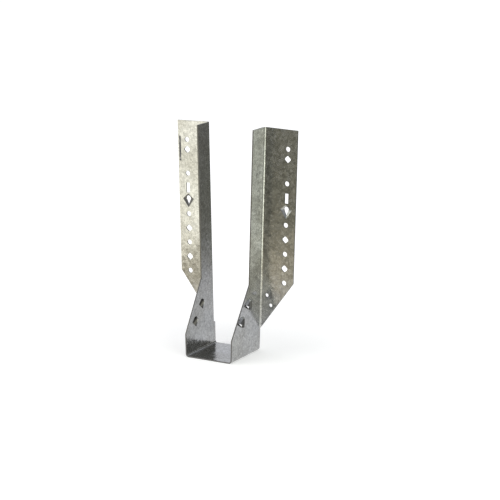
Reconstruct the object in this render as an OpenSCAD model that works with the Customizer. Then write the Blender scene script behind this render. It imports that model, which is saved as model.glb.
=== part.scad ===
// Face-mount joist hanger, folded from one sheet of galvanised steel.
// Z is up, the joist comes in along Y, the header face is the plane at the back.
// The sheet is one solid: seat, two side panels, two face flanges, four bends.

/* [Sheet] */
// thickness of the sheet
sheet = 1.2; // [1:0.1:1.6]
// radius on the inside of every bend
bend_in = 2; // [1.5:0.25:3]
// how far each side panel leans out from square, in degrees
splay = 1.45; // [0:0.05:2]

/* [Overall] */
// clear width for the joist, at the seat
joist_w = 46; // [44:1:52]
// height of the folded side
side_h = 210; // [200:1:220]
// depth of the seat, back to front
seat_d = 52.5; // [50:0.5:56]
// depth of a side panel along its upper part
upper_d = 22.5; // [21:0.5:24]
// height at which the front edge starts to flare forward
flare_top = 67.5; // [64:0.5:70]
// height at which the flare reaches the full seat depth
flare_low = 21.7; // [19:0.1:24]

/* [Face flanges] */
// width of a flange, from the outside of the panel
flange_w = 33.3; // [31:0.1:35]
// height of the slanted lower edge at its outer end
slant_out = 68.5; // [66:0.5:70]
// height of the slanted lower edge where it meets the panel
slant_in = 21.3; // [20:0.1:23]

/* [Nail holes] */
// distance of the nail column from the outside of the panel
column_x = 23.8; // [23:0.1:24.5]
// diameter of a round nail hole
nail_d = 4.6; // [4:0.1:5]
// side of a square hole set on its corner
square_s = 5.2; // [5:0.1:5.5]
// size of the same hole across its rounded corners
square_c = 6.2; // [6:0.1:6.6]
// diameter of a small hole in the lower corner
pilot_d = 3.4; // [3:0.1:3.8]
// distance of the upper corner hole from the outside of the panel
corner_a_x = 6.5; // [6:0.1:7.5]
// height of the upper corner hole
corner_a_z = 54.2; // [53.5:0.1:55]
// distance of the lower corner hole from the outside of the panel
corner_b_x = 10.7; // [10:0.1:11]
// height of the lower corner hole
corner_b_z = 45.1; // [44.5:0.1:46]

/* [Slot and nail pocket] */
// height of the middle of the slot
slot_z = 147; // [146.5:0.1:148]
// length of the slot
slot_l = 9.4; // [9:0.1:9.8]
// width of the slot
slot_w = 3.7; // [3.4:0.1:4.2]
// height of the widest line of the pocket
pocket_z = 136.6; // [136:0.1:137]
// width of the pocket at its rim
pocket_w = 11.6; // [11:0.1:12]
// rise of the pocket above its widest line
pocket_up = 5; // [4.6:0.1:5.2]
// drop of the pocket below its widest line
pocket_down = 8.3; // [8:0.1:8.6]
// depth the pocket is coined into the sheet
pocket_t = 0.85; // [0.6:0.05:0.9]
// share of the rim left at the floor of the pocket
pocket_floor = 0.46; // [0.42:0.01:0.5]
// radius of the rounded end of the hole in the pocket
tear_r = 2.2; // [2:0.1:2.3]
// rise of the rounded end's middle above the widest line
tear_up = 0.7; // [0.5:0.1:0.8]
// drop of the hole's point below the widest line
tear_down = 5.3; // [4.9:0.1:5.4]

/* [Nail domes] */
// distance of the upper dome's mouth from the back plane
dome_a_y = 25.3; // [24.6:0.1:26]
// height of the upper dome's mouth on the left side
dome_a_z = 41.2; // [40.5:0.1:42]
// distance of the lower dome's mouth from the back plane
dome_b_y = 37.7; // [37:0.1:38]
// height of the lower dome's mouth on the left side
dome_b_z = 27; // [26.5:0.1:27.5]
// height of the right side's domes above the left's, so that crossing nails miss
dome_lift = 6; // [4:0.1:6.2]
// angle at which a dome runs up and back from its mouth, in degrees
dome_turn = 52; // [48:1:56]
// angle at which the dome dives into the sheet towards its closed end, in degrees
dome_dive = 17; // [12:1:20]
// radius of the dome, outside
dome_r = 5.4; // [5.2:0.1:5.5]
// distance from the mouth to the middle of the round closed end
dome_l = 4.5; // [4.2:0.1:5]
// distance the dome's axis is sunk below the outside face, at the mouth
dome_sink = 1.8; // [1.7:0.1:2]
// thickness of the dome's wall, thinned by pressing
dome_t = 1; // [0.8:0.1:1]

/* [Hidden] */
$fn = 96;
eps = 0.01;
over = 3;
bend_out = bend_in + sheet;
x_in = joist_w / 2;
x_out = x_in + sheet;
x_edge = x_out + flange_w;
x_flat = x_in + bend_out;
seat_cx = x_out - bend_out;
slant = (slant_out - slant_in) / flange_w;
half_turn = 180;
quarter = 90;
round_z = [192.2, 160.6, 122.3, 95.3, 68.2];
square_z = [183, 108.8, 81.7];

// one round bend along +Z over a quarter turn, from the -X side to the +Y side
module quarter_bend(len) {
  intersection() {
    difference() {
      cylinder(h = len, r = bend_out);
      translate([0, 0, -over]) cylinder(h = len + 2 * over, r = bend_in);
    }
    translate([-2 * bend_out, 0, -over])
      cube([2 * bend_out, 2 * bend_out, len + 2 * over]);
  }
}

// outline of a side panel in depth and height, front edge flared over the seat
module panel_outline() {
  polygon([
    [0, bend_out],
    [0, slant_in],
    [bend_out, slant_in],
    [bend_out, side_h],
    [upper_d, side_h],
    [upper_d, flare_top],
    [seat_d, flare_low],
    [seat_d, bend_out]
  ]);
}

module panel_plate() {
  translate([x_in, 0, 0])
    rotate([quarter, 0, quarter])
      mirror([1, 0, 0])
        linear_extrude(height = sheet) panel_outline();
}

// outline of the flat of the flange, slanted lower edge included
module flange_outline() {
  polygon([
    [x_flat, slant_in + (x_flat - x_out) * slant],
    [x_flat, side_h],
    [x_edge, side_h],
    [x_edge, slant_out]
  ]);
}

// outline that ends the bend below, level under the panel, then along the slant
module bend_outline() {
  polygon([
    [x_in - over, slant_in],
    [x_in - over, side_h],
    [x_flat + over, side_h],
    [x_flat + over, slant_in + (x_flat + over - x_out) * slant],
    [x_out, slant_in]
  ]);
}

module flange_plate() {
  rotate([quarter, 0, 0]) linear_extrude(height = sheet) flange_outline();
}

module flange_bend() {
  intersection() {
    translate([x_flat, -bend_out, 0]) quarter_bend(side_h);
    translate([0, over, 0]) rotate([quarter, 0, 0])
      linear_extrude(height = bend_out + 2 * over) bend_outline();
  }
}

// round holes, and square ones set on a corner
module nail_cut(x, z, d) {
  translate([x_out + x, over, z]) rotate([quarter, 0, 0])
    cylinder(h = sheet + 2 * over, d = d);
}

module square_cut(x, z) {
  translate([x_out + x, over, z]) rotate([quarter, 0, 0]) intersection() {
    rotate([0, 0, half_turn / 4]) translate([-square_s / 2, -square_s / 2, 0])
      cube([square_s, square_s, sheet + 2 * over]);
    cylinder(h = sheet + 2 * over, d = square_c);
  }
}

module slot_cut() {
  translate([x_out + column_x - slot_w / 2, -sheet - over, slot_z - slot_l / 2])
    cube([slot_w, sheet + 2 * over, slot_l]);
}

// kite outline about the widest line of the pocket
module kite() {
  polygon([
    [-pocket_w / 2, 0],
    [0, pocket_up],
    [pocket_w / 2, 0],
    [0, -pocket_down]
  ]);
}

// round-topped hole that runs down to a point
module teardrop() {
  a = asin(tear_r / (tear_up + tear_down));
  translate([0, tear_up]) circle(r = tear_r);
  polygon([
    [0, tear_up],
    [-tear_r * cos(a), tear_up - tear_r * sin(a)],
    [0, -tear_down],
    [tear_r * cos(a), tear_up - tear_r * sin(a)]
  ]);
}

// sloping sides coined down from the front face, then the hole through the floor
module pocket_cut() {
  translate([x_out + column_x, -sheet, pocket_z]) rotate([-quarter, 0, 0]) mirror([0, 1, 0]) {
    linear_extrude(height = pocket_t, scale = pocket_floor) kite();
    translate([0, 0, -over]) linear_extrude(height = sheet + 2 * over) teardrop();
  }
}

// round-ended bar that dives into the sheet behind the dome's mouth
module dome_bar(r) {
  intersection() {
    translate([x_out - dome_sink, 0, 0]) rotate([0, 0, dome_dive]) translate([0, dome_l, 0]) {
      rotate([quarter, 0, 0]) cylinder(h = dome_l + over, r = r);
      sphere(r = r);
    }
    translate([0, 0, -2 * r]) cube([2 * x_out, 4 * r, 4 * r]);
  }
}

// hood pressed out of the panel, open at its mouth, for a nail driven at a slant
module dome_skin() {
  dome_bar(dome_r);
}

// inside of the hood, which opens the panel behind the mouth
module dome_hollow() {
  dome_bar(dome_r - dome_t);
}

module at_dome(y, z) {
  translate([0, -y, z]) rotate([dome_turn, 0, 0]) children();
}

module dome_places(lift) {
  at_dome(dome_a_y, dome_a_z + lift) children();
  at_dome(dome_b_y, dome_b_z + lift) children();
}

module side_plates(lift) {
  panel_plate();
  flange_plate();
  flange_bend();
  intersection() {
    dome_places(lift) dome_skin();
    translate([x_out - sheet / 2, -seat_d, 0]) cube([dome_r, seat_d, flare_top]);
  }
}

module side_half(lift) {
  difference() {
    side_plates(lift);
    for (z = round_z) nail_cut(column_x, z, nail_d);
    for (z = square_z) square_cut(column_x, z);
    nail_cut(corner_a_x, corner_a_z, pilot_d);
    nail_cut(corner_b_x, corner_b_z, pilot_d);
    slot_cut();
    pocket_cut();
    dome_places(lift) dome_hollow();
  }
}

// bend between seat and panel, ending where the leaned panel starts
module seat_bend() {
  translate([seat_cx, 0, bend_out]) rotate([quarter, 0, 0])
    intersection() {
      difference() {
        cylinder(h = seat_d, r = bend_out);
        translate([0, 0, -over]) cylinder(h = seat_d + 2 * over, r = bend_in);
      }
      translate([0, -2 * bend_out, -over])
        cube([2 * bend_out, 2 * bend_out, seat_d + 2 * over]);
      rotate([0, 0, -splay]) translate([0, -2 * bend_out, -over])
        cube([2 * bend_out, 2 * bend_out, seat_d + 2 * over]);
    }
}

module seat_plate() {
  translate([-seat_cx, -seat_d, 0]) cube([2 * seat_cx, seat_d, sheet]);
}

module leaned() {
  translate([seat_cx, 0, bend_out]) rotate([0, splay, 0]) translate([-seat_cx, 0, -bend_out])
    children();
}

module hanger() {
  color([0.72, 0.73, 0.74]) translate([0, seat_d / 2, 0]) {
    seat_plate();
    seat_bend();
    mirror([1, 0, 0]) seat_bend();
    leaned() side_half(dome_lift);
    mirror([1, 0, 0]) leaned() side_half(0);
  }
}

hanger();
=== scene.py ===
import math

import bpy
from mathutils import Matrix, Vector

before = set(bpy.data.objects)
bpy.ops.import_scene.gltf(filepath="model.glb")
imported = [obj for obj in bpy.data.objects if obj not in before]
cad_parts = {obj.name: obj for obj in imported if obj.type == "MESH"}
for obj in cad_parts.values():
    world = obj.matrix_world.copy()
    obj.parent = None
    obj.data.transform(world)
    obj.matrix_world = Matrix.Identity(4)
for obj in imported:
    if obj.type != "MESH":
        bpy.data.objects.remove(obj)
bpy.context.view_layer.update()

MM = 0.001

# ---------------------------------------------------------------- the sheet's own sizes, as in the part's source
BEND_OUT = 3.2 * MM  # radius on the outside of a bend
SPLAY = math.radians(1.45)  # how far a panel leans out
X_IN = 23 * MM  # inside face of a panel, at the seat
X_OUT = 24.2 * MM  # outside face of a panel, at the seat
X_FLAT = 26.2 * MM  # where the bend ends and the flange is flat
BACK = 26.25 * MM  # plane of the flange backs
COLUMN_X = 23.8 * MM  # nail column, from the outside of the panel
POCKET_Z = 135.5 * MM  # middle of the kite pocket
POCKET_REACH_X = 7 * MM
POCKET_REACH_Z = 9.5 * MM
HOOD_LIMIT_Y = 20 * MM  # the hoods lie in front of this line

# the plain inked bar on the left flange: its two sides from the middle of the part, and its two ends
INK_IN = 54.3 * MM
INK_OUT = 56.5 * MM
INK_LOW = 171 * MM
INK_HIGH = 194.5 * MM

# ---------------------------------------------------------------- zinc, steel, painted shade and ink
ZINC_CLEAN = (0.415, 0.42, 0.43, 1)
ZINC_TARNISHED = (0.40, 0.40, 0.395, 1)
ZINC_RUBBED = (0.55, 0.55, 0.55, 1)
SHEARED_STEEL = (0.12, 0.115, 0.11, 1)
# painted shade: the dark colour put inside the hoods and on the kite pockets' walls
PAINTED_HOLLOW_SHADE = (0.085, 0.08, 0.075, 1)
BLACK_INK = (0.045, 0.045, 0.05, 1)

CRYSTAL_SIZE = 2.7 * MM
CRYSTAL_TILT = 0.042
CRYSTAL_SHADE = (0.85, 1.13)
FEATHER_SHADE = (0.91, 1.09)
GRAIN_SHADE = (0.87, 1.12)
TARNISH_SHADE = (1.03, 0.94)
ROLLED_SHADE = (0.97, 1.03)
GRAIN_PER_METRE = 620.0
TARNISH_PER_METRE = 38.0
ROLLED_PER_METRE = (900.0, 900.0, 14.0)  # drawn out along the height, the way the sheet was rolled
WEAR_WIDTH = 0.5 * MM
WEAR_AMOUNT = 0.45
CUT_AMOUNT = 0.85
# how much painted shade darkens the inside of a hood
HOOD_PAINTED_SHADE = 0.92
# painted shade on the walls of the right kite pocket
RIGHT_POCKET_PAINTED_SHADE = 0.1
LEFT_POCKET_EXTRA_SHADE = 0.6  # painted shade added on the left kite pocket's walls, which are painted darker than the right's
FLANGE_SPRINGBACK = 0.055
CRYSTAL_GLOSS = (0.14, 0.22)  # roughness from the glossiest crystal to the dullest
TARNISH_DULLS = 0.05
CUT_DULLS = 0.15
# extra roughness where the hoods and pockets carry painted shade
PAINTED_SHADE_DULLS = 0.22
INK_DULLS = 0.25
INK_HIDES_METAL = -0.9

# ---------------------------------------------------------------- studio
FLOOR_PAINT = (0.8, 0.8, 0.8, 1)
FLOOR_SEEN = (0.37, 0.68)  # lift that the camera sees, close to the part and further out
FLOOR_SEEN_REACH = (0.04, 0.32)
FLOOR_MIRRORED = (0.20, 0.40)  # lift that the metal mirrors, in a painted shadow close behind the part and out of it
FLOOR_SHADE_REACH = (0.02, 0.07)
FLOOR_SHADE_PLACE = (0.02, 0.095, 0.0)
ROOM_AIR = (0.46, 0.47, 0.49, 1)
WHITE = (1, 1, 1, 1)

SOFTBOXES = (
    # name, place, target, width, height, strength, colour
    ("softbox_top", (-0.3, -0.3, 1.6), (0, 0, 0.1), 1.4, 1.4, 1.2, (1, 1, 1)),
    ("softbox_left", (-0.285, -0.24, 0.15), (-0.04, 0.0, 0.15), 0.27, 0.30, 1.65, (1, 0.97, 0.83)),
    ("softbox_right", (0.257, -0.142, 0.12), (0.03, 0.02, 0.12), 0.24, 0.24, 2.2, (0.97, 1, 0.85)),
    ("softbox_back", (-0.62, 1.05, 0.42), (0, 0, 0.05), 0.8, 0.6, 0.38, (0.96, 0.97, 1)),
)

# glowing tones of the card round the part, close to it and further out, seen only in the metal
FRONT_TONES = ((0.82, 0.73, 0.52, 1), (0.27, 0.26, 0.19, 1))
BACK_TONES = ((0.74, 0.74, 0.74, 1), (0.23, 0.23, 0.195, 1))
RIGHT_FRONT_TONE = (1.3, 1.28, 1.0, 1)
BACK_CARD_TONE = (0.21, 0.21, 0.19, 1)


# ---------------------------------------------------------------- camera
def viewing_camera():
    aim = Vector((22.8 * MM, 9.7 * MM, 98.6 * MM))
    azimuth = math.radians(29.08)
    elevation = math.radians(13.2)
    roll = math.radians(0.17)
    distance = 1.6446
    data = bpy.data.cameras.new("viewing_camera")
    data.lens = 130.5
    data.sensor_width = 36
    data.clip_start = 0.05
    data.clip_end = 60
    camera = bpy.data.objects.new("viewing_camera", data)
    bpy.context.scene.collection.objects.link(camera)
    turn = Matrix.Rotation(azimuth, 4, "Z") @ Matrix.Rotation(math.pi / 2 - elevation, 4, "X")
    turn = turn @ Matrix.Rotation(roll, 4, "Z")
    back = turn @ Vector((0, 0, 1))
    camera.matrix_world = Matrix.Translation(aim + back * distance) @ turn
    bpy.context.scene.camera = camera
    return camera


# ---------------------------------------------------------------- node helpers
def new_material(name):
    """An empty material with its output; returns the material, its tree and the output."""
    material = bpy.data.materials.new(name)
    material.use_nodes = True
    tree = material.node_tree
    tree.nodes.clear()
    return material, tree, add(tree, "ShaderNodeOutputMaterial")


def add(tree, kind, **settings):
    node = tree.nodes.new(kind)
    for key, value in settings.items():
        setattr(node, key, value)
    return node


def put(tree, node, socket, value):
    """Links a socket, or sets a plain value."""
    target = node.inputs[socket]
    if isinstance(value, bpy.types.NodeSocket):
        tree.links.new(value, target)
    else:
        target.default_value = value


def maths(tree, operation, a, b=None, c=None):
    node = add(tree, "ShaderNodeMath", operation=operation)
    for i, value in enumerate((a, b, c)):
        if value is not None:
            put(tree, node, i, value)
    return node.outputs[0]


def product(tree, first, *others):
    for value in others:
        first = maths(tree, "MULTIPLY", first, value)
    return first


def vector_maths(tree, operation, a, b=None, scale=None):
    node = add(tree, "ShaderNodeVectorMath", operation=operation)
    put(tree, node, 0, a)
    if b is not None:
        put(tree, node, 1, b)
    if scale is not None:
        put(tree, node, 3, scale)
    return node.outputs["Value" if operation in ("LENGTH", "DOT_PRODUCT") else "Vector"]


def split_vector(tree, vector):
    """The X, Y and Z of a vector."""
    node = add(tree, "ShaderNodeSeparateXYZ")
    put(tree, node, 0, vector)
    return node.outputs[0], node.outputs[1], node.outputs[2]


def blend_colour(tree, factor, a, b, mode="MIX"):
    node = add(tree, "ShaderNodeMix", data_type="RGBA", blend_type=mode, clamp_factor=True)
    put(tree, node, 0, factor)
    put(tree, node, 6, a)
    put(tree, node, 7, b)
    return node.outputs[2]


def ramp(tree, value, low, high, to_low=0.0, to_high=1.0, smooth=True):
    node = add(tree, "ShaderNodeMapRange", clamp=True)
    node.interpolation_type = "SMOOTHSTEP" if smooth else "LINEAR"
    for i, v in enumerate((value, low, high, to_low, to_high)):
        put(tree, node, i, v)
    return node.outputs[0]


def noise(tree, vector, scale, detail):
    node = add(tree, "ShaderNodeTexNoise")
    put(tree, node, "Vector", vector)
    put(tree, node, "Scale", scale)
    put(tree, node, "Detail", detail)
    return node


def new_group(name, inputs, outputs):
    """A shader group with named inputs and outputs; returns the tree and its two end nodes."""
    tree = bpy.data.node_groups.new(name, "ShaderNodeTree")
    for label, kind, default in inputs:
        socket = tree.interface.new_socket(label, in_out="INPUT", socket_type=kind)
        if default is not None:
            socket.default_value = default
    for label, kind in outputs:
        tree.interface.new_socket(label, in_out="OUTPUT", socket_type=kind)
    return tree, tree.nodes.new("NodeGroupInput"), tree.nodes.new("NodeGroupOutput")


def use_group(tree, group, **values):
    node = add(tree, "ShaderNodeGroup", node_tree=group)
    for label, value in values.items():
        put(tree, node, label.replace("_", " "), value)
    return node


def beyond_the_lean(tree, out, up):
    """How far out a point is, less what the panel's lean adds at its height, so that a panel reads as upright."""
    return maths(tree, "SUBTRACT", out, maths(tree, "MULTIPLY", up, math.sin(SPLAY)))


def face_direction(tree):
    """The true direction that a face looks in, as its X, Y and Z."""
    surface = add(tree, "ShaderNodeNewGeometry")
    return split_vector(tree, surface.outputs["True Normal"])


# ---------------------------------------------------------------- effects on the sheet, each a group with named values
def spangle_group():
    """Zinc crystals: patches of slightly different tilt and shade, feathered inside, with ragged borders."""
    tree, start, end = new_group(
        "zinc_spangle",
        [
            ("Place", "NodeSocketVector", None),
            ("Crystal", "NodeSocketFloat", CRYSTAL_SIZE),
            ("Tilt", "NodeSocketFloat", CRYSTAL_TILT),
        ],
        [("Shade", "NodeSocketFloat"), ("Feather", "NodeSocketFloat"), ("Normal", "NodeSocketVector")],
    )
    middle = (0.5, 0.5, 0.5)
    per_metre = maths(tree, "DIVIDE", 1.0, start.outputs["Crystal"])
    scaled = vector_maths(tree, "SCALE", start.outputs["Place"], scale=per_metre)
    ragged = noise(tree, scaled, 2.2, 3.0)
    shift = vector_maths(tree, "SUBTRACT", ragged.outputs["Color"], middle)
    shift = vector_maths(tree, "SCALE", shift, scale=0.9)
    moved = vector_maths(tree, "ADD", scaled, shift)
    crystals = add(tree, "ShaderNodeTexVoronoi", feature="F1")
    put(tree, crystals, "Vector", moved)
    put(tree, crystals, "Scale", 1.0)
    put(tree, crystals, "Randomness", 1.0)
    chance = crystals.outputs["Color"]
    # the feathers run a different way in each crystal
    turn = add(tree, "ShaderNodeVectorRotate", rotation_type="EULER_XYZ")
    put(tree, turn, "Vector", moved)
    put(tree, turn, "Rotation", vector_maths(tree, "SCALE", chance, scale=math.tau))
    stretched = vector_maths(tree, "MULTIPLY", turn.outputs[0], (1.0, 1.4, 9.0))
    feather = noise(tree, stretched, 1.3, 2.0)
    tilt = vector_maths(tree, "SUBTRACT", chance, middle)
    fine = vector_maths(tree, "SUBTRACT", feather.outputs["Color"], middle)
    tilt = vector_maths(tree, "ADD", tilt, vector_maths(tree, "SCALE", fine, scale=0.8))
    tilt = vector_maths(tree, "SCALE", tilt, scale=start.outputs["Tilt"])
    surface = add(tree, "ShaderNodeNewGeometry")
    leaned = vector_maths(tree, "ADD", surface.outputs["Normal"], tilt)
    shade = add(tree, "ShaderNodeSeparateColor")
    put(tree, shade, 0, chance)
    tree.links.new(shade.outputs[0], end.inputs["Shade"])
    tree.links.new(feather.outputs[0], end.inputs["Feather"])
    tree.links.new(vector_maths(tree, "NORMALIZE", leaned), end.inputs["Normal"])
    return tree


def cut_edge_group():
    """A mask of the sheared faces: the outline of the sheet and the walls of its holes."""
    tree, start, end = new_group(
        "sheared_faces", [("Place", "NodeSocketVector", None)], [("Mask", "NodeSocketFloat")]
    )
    x, y, z = split_vector(tree, start.outputs["Place"])
    across = beyond_the_lean(tree, maths(tree, "ABSOLUTE", x), z)
    face_x, face_y, face_z = (maths(tree, "ABSOLUTE", v) for v in face_direction(tree))
    on_flange = maths(tree, "GREATER_THAN", across, X_FLAT - 0.4 * MM)
    before_flange = maths(tree, "SUBTRACT", 1.0, on_flange)
    before_bend = maths(tree, "SUBTRACT", 1.0, maths(tree, "GREATER_THAN", y, BACK - BEND_OUT))
    over_seat = maths(tree, "GREATER_THAN", z, BEND_OUT + 1 * MM)
    close_to_seat = maths(tree, "LESS_THAN", z, 20 * MM)
    faces_along_joist = ramp(tree, face_y, 0.5, 0.7)
    flange_cut = maths(tree, "MULTIPLY", on_flange, ramp(tree, face_y, 0.5, 0.7, 1.0, 0.0))
    up_cut = maths(tree, "MULTIPLY", over_seat, ramp(tree, face_z, 0.3, 0.5))
    end_cut = maths(tree, "MULTIPLY", before_bend, faces_along_joist)
    back_cut = maths(tree, "MULTIPLY", close_to_seat, faces_along_joist)
    body_cut = maths(tree, "MAXIMUM", maths(tree, "MAXIMUM", up_cut, end_cut), back_cut)
    body_cut = product(tree, before_flange, body_cut, ramp(tree, face_x, 0.12, 0.25, 1.0, 0.0))
    tree.links.new(maths(tree, "MAXIMUM", flange_cut, body_cut), end.inputs["Mask"])
    return tree


def pressed_hollows_group():
    """Masks of the pressed places: the inside of the slant-nail hoods, and the coined walls of the kite pockets."""
    tree, start, end = new_group(
        "pressed_hollows",
        [("Place", "NodeSocketVector", None)],
        [("Hood", "NodeSocketFloat"), ("Pocket", "NodeSocketFloat")],
    )
    x, y, z = split_vector(tree, start.outputs["Place"])
    across = beyond_the_lean(tree, maths(tree, "ABSOLUTE", x), z)
    face_x, face_y, _ = face_direction(tree)
    inward = product(tree, maths(tree, "SIGN", x), face_x, -1.0)
    hood = product(
        tree,
        ramp(tree, across, X_IN + 0.25 * MM, X_IN + 0.6 * MM),
        ramp(tree, inward, -0.05, 0.1),
        ramp(tree, y, HOOD_LIMIT_Y - 0.5 * MM, HOOD_LIMIT_Y + 1 * MM, 1.0, 0.0),
    )
    tree.links.new(hood, end.inputs["Hood"])
    square_on = maths(tree, "ABSOLUTE", face_y)
    off_x = maths(tree, "ABSOLUTE", maths(tree, "SUBTRACT", across, X_OUT + COLUMN_X))
    off_z = maths(tree, "ABSOLUTE", maths(tree, "SUBTRACT", z, POCKET_Z))
    pocket = product(
        tree,
        ramp(tree, square_on, 0.99, 0.97),
        ramp(tree, square_on, 0.3, 0.5),
        maths(tree, "LESS_THAN", off_x, POCKET_REACH_X),
        maths(tree, "LESS_THAN", off_z, POCKET_REACH_Z),
    )
    tree.links.new(pocket, end.inputs["Pocket"])
    return tree


def springback_group():
    """A folded flange springs back a little, so its face shows things further to its own side than a true one."""
    tree, start, end = new_group(
        "flange_springback",
        [
            ("Place", "NodeSocketVector", None),
            ("Normal", "NodeSocketVector", None),
            ("Back", "NodeSocketFloat", FLANGE_SPRINGBACK),
        ],
        [("Normal", "NodeSocketVector")],
    )
    x, _, z = split_vector(tree, start.outputs["Place"])
    across = beyond_the_lean(tree, maths(tree, "ABSOLUTE", x), z)
    on_flange = ramp(tree, across, X_OUT + 0.3 * MM, X_FLAT)
    _, face_y, _ = split_vector(tree, start.outputs["Normal"])
    swing = product(tree, maths(tree, "SIGN", x), face_y, -1.0, on_flange, start.outputs["Back"])
    along = add(tree, "ShaderNodeCombineXYZ")
    put(tree, along, 0, swing)
    swung = vector_maths(tree, "ADD", start.outputs["Normal"], along.outputs[0])
    tree.links.new(vector_maths(tree, "NORMALIZE", swung), end.inputs["Normal"])
    return tree


def edge_wear_group():
    """A mask along sharp edges and bends, broken up so that wear is not even."""
    tree, start, end = new_group(
        "edge_wear",
        [("Place", "NodeSocketVector", None), ("Width", "NodeSocketFloat", WEAR_WIDTH)],
        [("Mask", "NodeSocketFloat")],
    )
    soft = add(tree, "ShaderNodeBevel", samples=4)
    put(tree, soft, "Radius", start.outputs["Width"])
    surface = add(tree, "ShaderNodeNewGeometry")
    same = vector_maths(tree, "DOT_PRODUCT", soft.outputs[0], surface.outputs["Normal"])
    rim = ramp(tree, same, 0.995, 0.9)
    patchy = noise(tree, start.outputs["Place"], 260.0, 3.0)
    keep = ramp(tree, patchy.outputs[0], 0.4, 0.62)
    tree.links.new(maths(tree, "MULTIPLY", rim, keep), end.inputs["Mask"])
    return tree


def ink_bar_group():
    """A plain inked bar down the outer edge of the left flange, rubbed thin in places. It holds no letters."""
    tree, start, end = new_group("ink_bar", [("Place", "NodeSocketVector", None)], [("Mask", "NodeSocketFloat")])
    x, _, z = split_vector(tree, start.outputs["Place"])
    out_left = beyond_the_lean(tree, maths(tree, "MULTIPLY", x, -1.0), z)
    _, face_y, _ = face_direction(tree)
    rubbed = noise(tree, start.outputs["Place"], 210.0, 3.0)
    soft_side = 0.3 * MM
    soft_end = 0.4 * MM
    bar = product(
        tree,
        ramp(tree, out_left, INK_IN, INK_IN + soft_side),
        ramp(tree, out_left, INK_OUT - soft_side, INK_OUT, 1.0, 0.0),
        ramp(tree, z, INK_LOW, INK_LOW + soft_end),
        ramp(tree, z, INK_HIGH - soft_end, INK_HIGH, 1.0, 0.0),
        ramp(tree, face_y, -0.9, -0.6, 1.0, 0.0),
        ramp(tree, rubbed.outputs[0], 0.36, 0.6, 0.45, 0.95),
    )
    tree.links.new(bar, end.inputs["Mask"])
    return tree


# ---------------------------------------------------------------- galvanised sheet
def galvanised_sheet():
    material, tree, out = new_material("galvanised_sheet")
    steel = add(tree, "ShaderNodeBsdfPrincipled")
    tree.links.new(steel.outputs[0], out.inputs[0])
    place = add(tree, "ShaderNodeTexCoord").outputs["Object"]

    # crystals and fine grain, broad clouds of tarnish, and faint lines along the rolling direction
    crystals = use_group(tree, spangle_group(), Place=place, Crystal=CRYSTAL_SIZE, Tilt=CRYSTAL_TILT)
    grain = noise(tree, place, GRAIN_PER_METRE, 2.0)
    clouds = noise(tree, place, TARNISH_PER_METRE, 4.0)
    tarnish = ramp(tree, clouds.outputs[0], 0.35, 0.7)
    rolled = noise(tree, vector_maths(tree, "MULTIPLY", place, ROLLED_PER_METRE), 1.0, 2.0)
    shade = product(
        tree,
        ramp(tree, crystals.outputs["Shade"], 0.0, 1.0, *CRYSTAL_SHADE, smooth=False),
        ramp(tree, crystals.outputs["Feather"], 0.3, 0.7, *FEATHER_SHADE),
        ramp(tree, grain.outputs[0], 0.38, 0.64, *GRAIN_SHADE),
        ramp(tree, tarnish, 0.0, 1.0, *TARNISH_SHADE),
        ramp(tree, rolled.outputs[0], 0.3, 0.7, *ROLLED_SHADE),
    )
    zinc = blend_colour(tree, tarnish, ZINC_CLEAN, ZINC_TARNISHED)
    zinc = blend_colour(tree, 1.0, zinc, shade, mode="MULTIPLY")

    # edges rubbed bright, then the sheared faces, where the steel has no zinc
    cut = use_group(tree, cut_edge_group(), Place=place).outputs[0]
    wear = use_group(tree, edge_wear_group(), Place=place, Width=WEAR_WIDTH).outputs[0]
    worn = blend_colour(tree, maths(tree, "MULTIPLY", wear, WEAR_AMOUNT), zinc, ZINC_RUBBED)
    bare = blend_colour(tree, maths(tree, "MULTIPLY", cut, CUT_AMOUNT), worn, SHEARED_STEEL)

    # painted shade: the inside of each hood is painted near black, and the kite pockets' walls are painted dark too
    pressed = use_group(tree, pressed_hollows_group(), Place=place)
    on_left = maths(tree, "LESS_THAN", split_vector(tree, place)[0], 0.0)
    pocket_shade_amount = maths(tree, "MULTIPLY_ADD", on_left, LEFT_POCKET_EXTRA_SHADE, RIGHT_POCKET_PAINTED_SHADE)
    pocket_shade_mask = maths(tree, "MULTIPLY", pressed.outputs["Pocket"], pocket_shade_amount)
    hood_shade_mask = maths(tree, "MULTIPLY", pressed.outputs["Hood"], HOOD_PAINTED_SHADE)
    hollow_shade_mask = maths(tree, "MAXIMUM", pocket_shade_mask, hood_shade_mask)
    sheet_face = blend_colour(tree, hollow_shade_mask, bare, PAINTED_HOLLOW_SHADE)

    ink = use_group(tree, ink_bar_group(), Place=place).outputs[0]
    put(tree, steel, "Base Color", blend_colour(tree, ink, sheet_face, BLACK_INK))
    put(tree, steel, "Metallic", maths(tree, "MULTIPLY_ADD", ink, INK_HIDES_METAL, 1.0))

    rough = ramp(tree, crystals.outputs["Shade"], 0.0, 1.0, *CRYSTAL_GLOSS, smooth=False)
    rough = maths(tree, "ADD", rough, ramp(tree, tarnish, 0.0, 1.0, 0.0, TARNISH_DULLS))
    for mask, dulls in ((cut, CUT_DULLS), (hollow_shade_mask, PAINTED_SHADE_DULLS), (ink, INK_DULLS)):
        rough = maths(tree, "ADD", rough, maths(tree, "MULTIPLY", mask, dulls))
    put(tree, steel, "Roughness", rough)

    sprung = use_group(
        tree, springback_group(), Place=place, Normal=crystals.outputs["Normal"], Back=FLANGE_SPRINGBACK
    )
    relief = add(tree, "ShaderNodeBump")
    put(tree, relief, "Strength", 0.15)
    put(tree, relief, "Distance", 0.05 * MM)
    put(tree, relief, "Height", crystals.outputs["Feather"])
    put(tree, relief, "Normal", sprung.outputs[0])
    put(tree, steel, "Normal", relief.outputs[0])
    return material


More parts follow.
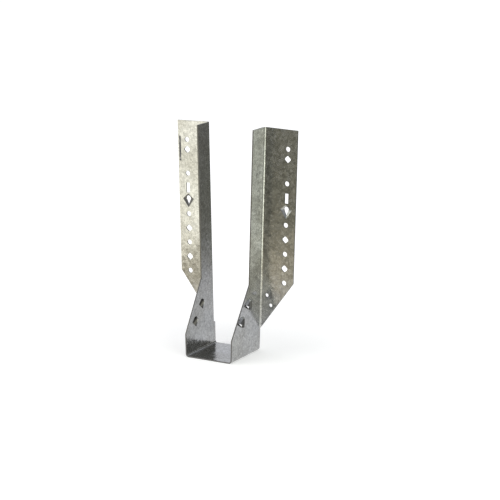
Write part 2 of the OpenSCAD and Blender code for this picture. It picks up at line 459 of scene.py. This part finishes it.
# ---------------------------------------------------------------- studio
def plane(name, width, depth, matrix):
    mesh = bpy.data.meshes.new(name)
    w, d = width / 2, depth / 2
    corners = ((-w, -d, 0), (w, -d, 0), (w, d, 0), (-w, d, 0))
    mesh.from_pydata([matrix @ Vector(p) for p in corners], [], [(0, 1, 2, 3)])
    piece = bpy.data.objects.new(name, mesh)
    bpy.context.scene.collection.objects.link(piece)
    return piece


def pale_floor():
    floor = plane("studio_floor", 14, 14, Matrix.Translation((0, 2, 0)))
    material, tree, out = new_material("studio_floor_pale")
    paint = add(tree, "ShaderNodeBsdfDiffuse")
    put(tree, paint, "Color", FLOOR_PAINT)
    place = add(tree, "ShaderNodeTexCoord").outputs["Object"]
    path = add(tree, "ShaderNodeLightPath")
    # the lamps light the middle of the floor more than its far end, so the lift in the camera's view makes up for that
    away = ramp(tree, vector_maths(tree, "LENGTH", place), *FLOOR_SEEN_REACH, *FLOOR_SEEN)
    in_view = maths(tree, "MULTIPLY", path.outputs["Is Camera Ray"], away)
    # painted shadow: the lift that the metal mirrors is lowered on the floor close behind the part, and the left
    # panel's inside mirrors that darker patch
    from_shade = vector_maths(tree, "LENGTH", vector_maths(tree, "SUBTRACT", place, FLOOR_SHADE_PLACE))
    mirrored = ramp(tree, from_shade, *FLOOR_SHADE_REACH, *FLOOR_MIRRORED)
    to_metal = maths(tree, "MAXIMUM", path.outputs["Is Glossy Ray"], path.outputs["Is Transmission Ray"])
    lift = add(tree, "ShaderNodeEmission")
    put(tree, lift, "Strength", maths(tree, "MAXIMUM", in_view, maths(tree, "MULTIPLY", to_metal, mirrored)))
    both = add(tree, "ShaderNodeAddShader")
    tree.links.new(paint.outputs[0], both.inputs[0])
    tree.links.new(lift.outputs[0], both.inputs[1])
    tree.links.new(both.outputs[0], out.inputs[0])
    floor.data.materials.append(material)
    return floor


def studio_world():
    """White behind the part in the camera's view, and a plain grey room for the light and for the metal."""
    world = bpy.data.worlds.new("studio_world")
    world.use_nodes = True
    tree = world.node_tree
    tree.nodes.clear()
    out = add(tree, "ShaderNodeOutputWorld")
    air = add(tree, "ShaderNodeBackground")
    path = add(tree, "ShaderNodeLightPath")
    put(tree, air, "Color", blend_colour(tree, path.outputs["Is Camera Ray"], ROOM_AIR, WHITE))
    put(tree, air, "Strength", 1.0)
    tree.links.new(air.outputs[0], out.inputs[0])
    bpy.context.scene.world = world


def softbox(name, place, target, width, height, strength, colour):
    light = bpy.data.lights.new(name, "AREA")
    light.shape = "RECTANGLE"
    light.size = width
    light.size_y = height
    light.color = colour
    light.energy = strength * width * height * math.pi
    lamp = bpy.data.objects.new(name, light)
    bpy.context.scene.collection.objects.link(lamp)
    lamp.location = place
    lamp.rotation_euler = (Vector(target) - Vector(place)).to_track_quat("-Z", "Y").to_euler()
    lamp.visible_camera = False
    return lamp


def only_in_the_metal(card):
    """Keeps a card out of the camera's view and out of the light, so that only gloss shows it."""
    card.visible_camera = False
    card.visible_diffuse = False
    card.visible_shadow = False


def surround_card():
    """A graded glowing card on the floor round the part: clear near it, and glowing dark further out, standing in for
    an unlit room.
    """
    card = plane("surround_card", 5, 5, Matrix.Translation((0, 0, 1.5 * MM)))
    material, tree, out = new_material("surround_graded")
    place = add(tree, "ShaderNodeTexCoord").outputs["Object"]
    away = vector_maths(tree, "LENGTH", place)
    x, y, _ = split_vector(tree, place)
    behind = ramp(tree, y, -0.1, 0.1)
    near = blend_colour(tree, behind, FRONT_TONES[0], BACK_TONES[0])
    far = blend_colour(tree, behind, FRONT_TONES[1], BACK_TONES[1])
    # the card glows brightest close in front of the right flange, a glowing patch put there for the flange's lower end
    # to mirror
    close_right = product(
        tree,
        ramp(tree, x, 0.02, 0.1),
        ramp(tree, away, 0.2, 0.3, 1.0, 0.0),
        maths(tree, "SUBTRACT", 1.0, behind),
    )
    near = blend_colour(tree, close_right, near, RIGHT_FRONT_TONE)
    card_glow = add(tree, "ShaderNodeEmission")
    put(tree, card_glow, "Color", blend_colour(tree, ramp(tree, away, 0.18, 0.58), near, far))
    clear = add(tree, "ShaderNodeBsdfTransparent")
    both = add(tree, "ShaderNodeMixShader")
    tree.links.new(ramp(tree, away, 0.0, 0.3), both.inputs[0])
    tree.links.new(clear.outputs[0], both.inputs[1])
    tree.links.new(card_glow.outputs[0], both.inputs[2])
    tree.links.new(both.outputs[0], out.inputs[0])
    card.data.materials.append(material)
    only_in_the_metal(card)
    return card


def standing_card(name, place, target, width, height, tone):
    """A card stood up beside the part, glowing in one plain tone."""
    turn = (Vector(target) - Vector(place)).to_track_quat("Z", "Y").to_matrix().to_4x4()
    card = plane(name, width, height, Matrix.Translation(place) @ turn)
    material, tree, out = new_material(name + "_felt")
    card_glow = add(tree, "ShaderNodeEmission")
    put(tree, card_glow, "Color", tone)
    tree.links.new(card_glow.outputs[0], out.inputs[0])
    card.data.materials.append(material)
    only_in_the_metal(card)
    return card


# ---------------------------------------------------------------- the hanger
def finish_hanger(hanger):
    """Gives the folded sheet its zinc, and takes the knife edge off its rims."""
    hanger.data.materials.clear()
    hanger.data.materials.append(galvanised_sheet())
    weld = hanger.modifiers.new("weld", "WELD")
    weld.merge_threshold = 0.002 * MM
    round_edges = hanger.modifiers.new("round_edges", "BEVEL")
    round_edges.limit_method = "ANGLE"
    round_edges.angle_limit = math.radians(35)
    round_edges.width = 0.15 * MM
    round_edges.segments = 2
    round_edges.use_clamp_overlap = True
    round_edges.harden_normals = False
    # the broad flats keep their own true direction up to their edges, so that what they mirror isn't bent there
    even_normals = hanger.modifiers.new("even_normals", "WEIGHTED_NORMAL")
    even_normals.mode = "FACE_AREA"
    even_normals.weight = 50
    even_normals.keep_sharp = True


bpy.context.scene.view_settings.view_transform = "Standard"
viewing_camera()
pale_floor()
studio_world()
for values in SOFTBOXES:
    softbox(*values)
surround_card()
standing_card("card_back_right", (0.55, 1.0, 0.35), (0, 0, 0.35), 0.8, 0.7, BACK_CARD_TONE)
finish_hanger(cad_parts["hanger"])
